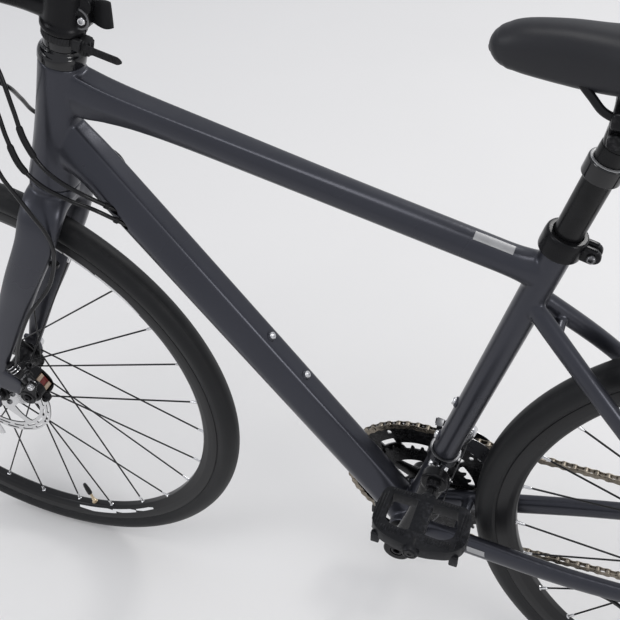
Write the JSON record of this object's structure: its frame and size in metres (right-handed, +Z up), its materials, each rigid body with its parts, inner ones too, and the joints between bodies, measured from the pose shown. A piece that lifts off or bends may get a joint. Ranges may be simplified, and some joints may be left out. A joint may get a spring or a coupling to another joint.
{
  "type": "road bike",
  "caption": "Flat-bar road bicycle with a sloping tubular frame, disc brakes, derailleur gears, platform pedals and wire-spoked wheels; wheels, cranks, steering and levers move.",
  "frame": {"origin": "middle of the bicycle's bounding box on the ground under the tyres", "axes": "+X towards the rear, +Y towards the drive side (the rider's right), +Z up"},
  "size_m": [1.6908, 0.5862, 0.94],
  "materials": {
    "frame_paint": "matte dark grey",
    "anodised": "black anodised",
    "bright_steel": "bright",
    "black_steel": "black",
    "chain_steel": "oiled",
    "tyre_rubber": "matte",
    "soft_rubber": "matte",
    "plastic": "moulded",
    "vinyl": "grained cover over foam"
  },
  "bodies": {
    "frame": {"frame": "frame_paint", "seat_collar": "anodised", "bottom_bracket": "anodised", "fd_clamp": "anodised", "rd_knuckle": "anodised", "rear_caliper": "anodised", "rear_skewer": "bright_steel", "rear_brake_cable": "plastic", "rear_shift_cable": "plastic", "front_shift_cable": "plastic", "chain": "chain_steel"},
    "steering": {"fork": "frame_paint", "headset_cover": "plastic", "strap_bracket": "plastic", "stem": "anodised", "handlebar": "anodised", "grip_left": "soft_rubber", "grip_right": "soft_rubber", "control_left": "plastic", "control_right": "plastic", "front_caliper": "anodised", "front_skewer": "bright_steel", "front_brake_cable": "plastic"},
    "front_wheel": {"front_tyre": "tyre_rubber", "front_rim": "anodised", "front_spokes_left": "black_steel", "front_spokes_right": "black_steel", "front_hub": "anodised", "front_rotor": "bright_steel"},
    "rear_wheel": {"rear_tyre": "tyre_rubber", "rear_rim": "anodised", "rear_spokes_left": "black_steel", "rear_spokes_right": "black_steel", "rear_hub": "anodised", "rear_rotor": "bright_steel"},
    "cassette": {"cassette": "bright_steel"},
    "crankset": {"crank_left": "anodised", "crank_right": "anodised", "chainring_outer": "anodised"},
    "pedal_left": {"pedal_left": "plastic"},
    "pedal_right": {"pedal_right": "plastic"},
    "fd_link": {"fd_link": "bright_steel"},
    "fd_cage": {"fd_cage": "bright_steel"},
    "rd_link": {"rd_link": "anodised"},
    "rd_body": {"rd_body": "anodised"},
    "rd_cage": {"rd_cage": "anodised"},
    "rd_pulley_upper": {"rd_pulley_upper": "plastic"},
    "rd_pulley_lower": {"rd_pulley_lower": "plastic"},
    "brake_lever_left": {"brake_lever_left": "anodised"},
    "brake_lever_right": {"brake_lever_right": "anodised"},
    "shift_lever_left": {"shift_lever_left": "plastic"},
    "shift_lever_right": {"shift_lever_right": "plastic"},
    "front_caliper_arm": {"front_caliper_arm": "anodised"},
    "rear_caliper_arm": {"rear_caliper_arm": "anodised"},
    "front_qr_lever": {"front_qr_lever": "bright_steel"},
    "rear_qr_lever": {"rear_qr_lever": "bright_steel"},
    "seatpost": {"seatpost": "anodised", "seatpost_bracket": "plastic"},
    "saddle_clamp": {"saddle_clamp": "anodised"},
    "saddle": {"saddle": "vinyl"}
  },
  "joints": [
    {"name": "steering_turn", "type": "hinge", "parent": "frame", "child": "steering", "pos_m": [-0.45866, 0.00319, 0.32786], "axis": [0.3256, 0, 0.9455], "range_deg": [-62.2, 57.8], "deforming": ["rear_brake_cable", "rear_shift_cable", "front_shift_cable"]},
    {"name": "front_wheel_spin", "type": "hinge", "parent": "steering", "child": "front_wheel", "pos_m": [-0.5026, 0.00141, 0.34299], "axis": [-0.0363, 0.9993, 0.0125], "continuous": true},
    {"name": "rear_wheel_spin", "type": "hinge", "parent": "frame", "child": "rear_wheel", "pos_m": [0.50237, 0.00319, 0.343], "axis": [0, 1, 0], "continuous": true},
    {"name": "crank_spin", "type": "hinge", "parent": "frame", "child": "crankset", "pos_m": [0.08137, 0.00319, 0.278], "axis": [0, 1, 0], "continuous": true, "deforming": ["chain"]},
    {"name": "pedal_left_spin", "type": "hinge", "parent": "crankset", "child": "pedal_left", "pos_m": [0.12537, 0.00319, 0.44221], "axis": [0, 1, 0], "continuous": true},
    {"name": "pedal_right_spin", "type": "hinge", "parent": "crankset", "child": "pedal_right", "pos_m": [0.03737, 0.00319, 0.11379], "axis": [0, 1, 0], "continuous": true},
    {"name": "cassette_spin", "type": "hinge", "parent": "frame", "child": "cassette", "pos_m": [0.50237, 0.00319, 0.343], "axis": [0, 1, 0], "continuous": true, "deforming": ["chain"]},
    {"name": "fd_link_swing", "type": "hinge", "parent": "frame", "child": "fd_link", "pos_m": [0.12737, 0.03319, 0.428], "axis": [1, 0, 0], "range_deg": [-21, 2], "deforming": ["chain", "front_shift_cable"]},
    {"name": "fd_cage_swing", "type": "hinge", "parent": "fd_link", "child": "fd_cage", "pos_m": [0.12737, 0.04519, 0.409], "axis": [1, 0, 0], "range_deg": [-2, 21]},
    {"name": "rd_link_swing", "type": "hinge", "parent": "frame", "child": "rd_link", "pos_m": [0.50037, 0.09119, 0.302], "axis": [0, -0.6, 0.8], "range_deg": [-26, 28], "deforming": ["chain", "rear_shift_cable"]},
    {"name": "rd_body_swing", "type": "hinge", "parent": "rd_link", "child": "rd_body", "pos_m": [0.46437, 0.07919, 0.293], "axis": [0, -0.6, 0.8], "range_deg": [-28, 26]},
    {"name": "rd_cage_swing", "type": "hinge", "parent": "rd_body", "child": "rd_cage", "pos_m": [0.49137, 0.04379, 0.276], "axis": [0, 1, 0], "range_deg": [-30, 40], "stiffness_Nm_per_rad": 1.2, "deforming": ["chain"]},
    {"name": "rd_pulley_upper_spin", "type": "hinge", "parent": "rd_cage", "child": "rd_pulley_upper", "pos_m": [0.49937, 0.04379, 0.268], "axis": [0, 1, 0], "continuous": true, "deforming": ["chain"]},
    {"name": "rd_pulley_lower_spin", "type": "hinge", "parent": "rd_cage", "child": "rd_pulley_lower", "pos_m": [0.45537, 0.04379, 0.228], "axis": [0, 1, 0], "continuous": true, "deforming": ["chain"]},
    {"name": "brake_lever_left_pull", "type": "hinge", "parent": "steering", "child": "brake_lever_left", "pos_m": [-0.37887, -0.13925, 0.90589], "axis": [-0.2584, -0.0215, 0.9658], "range_deg": [0, 11], "stiffness_Nm_per_rad": 1},
    {"name": "shift_lever_left_push", "type": "hinge", "parent": "steering", "child": "shift_lever_left", "pos_m": [-0.33973, -0.12757, 0.88278], "axis": [-0.2584, -0.0215, 0.9658], "range_deg": [-30, 0], "stiffness_Nm_per_rad": 0.3},
    {"name": "brake_lever_right_pull", "type": "hinge", "parent": "steering", "child": "brake_lever_right", "pos_m": [-0.38888, 0.13657, 0.90934], "axis": [-0.2584, -0.0215, 0.9658], "range_deg": [-11, 0], "stiffness_Nm_per_rad": 1},
    {"name": "shift_lever_right_push", "type": "hinge", "parent": "steering", "child": "shift_lever_right", "pos_m": [-0.34903, 0.12834, 0.88599], "axis": [-0.2584, -0.0215, 0.9658], "range_deg": [0, 30], "stiffness_Nm_per_rad": 0.3},
    {"name": "front_caliper_arm_turn", "type": "hinge", "parent": "steering", "child": "front_caliper_arm", "pos_m": [-0.42079, -0.06199, 0.38443], "axis": [-0.0363, 0.9993, 0.0125], "range_deg": [-11, 0], "deforming": ["front_brake_cable"]},
    {"name": "rear_caliper_arm_turn", "type": "hinge", "parent": "frame", "child": "rear_caliper_arm", "pos_m": [0.4178, -0.07261, 0.37378], "axis": [0, 1, 0], "range_deg": [-11, 0], "deforming": ["rear_brake_cable"]},
    {"name": "front_qr_flip", "type": "hinge", "parent": "steering", "child": "front_qr_lever", "pos_m": [-0.50013, -0.06644, 0.34214], "axis": [0.9922, 0.0345, 0.1194], "range_deg": [-180, 0]},
    {"name": "rear_qr_flip", "type": "hinge", "parent": "frame", "child": "rear_qr_lever", "pos_m": [0.50237, -0.08251, 0.343], "axis": [-0.6606, 0, 0.7507], "range_deg": [-180, 0]},
    {"name": "seatpost_height", "type": "slide", "parent": "frame", "child": "seatpost", "axis": [0.2773, 0, 0.9608], "range_m": [-0.055, 0.06]},
    {"name": "saddle_tilt", "type": "hinge", "parent": "seatpost", "child": "saddle_clamp", "pos_m": [0.24116, 0.00319, 0.85325], "axis": [0, 1, 0], "range_deg": [-8, 8]},
    {"name": "saddle_slide", "type": "slide", "parent": "saddle_clamp", "child": "saddle", "axis": [1, 0, 0], "range_m": [-0.015, 0.008]}
  ],
  "couplings": [
    {"joint": "cassette_spin", "follows": "crank_spin", "ratio": 2.9412},
    {"joint": "rd_pulley_upper_spin", "follows": "crank_spin", "ratio": -4.5455},
    {"joint": "rd_pulley_lower_spin", "follows": "crank_spin", "ratio": 4.5455},
    {"joint": "fd_cage_swing", "follows": "fd_link_swing", "ratio": -1},
    {"joint": "rd_body_swing", "follows": "rd_link_swing", "ratio": -1},
    {"joint": "front_caliper_arm_turn", "follows": "brake_lever_left_pull", "ratio": -1},
    {"joint": "rear_caliper_arm_turn", "follows": "brake_lever_right_pull", "ratio": 1}
  ]
}
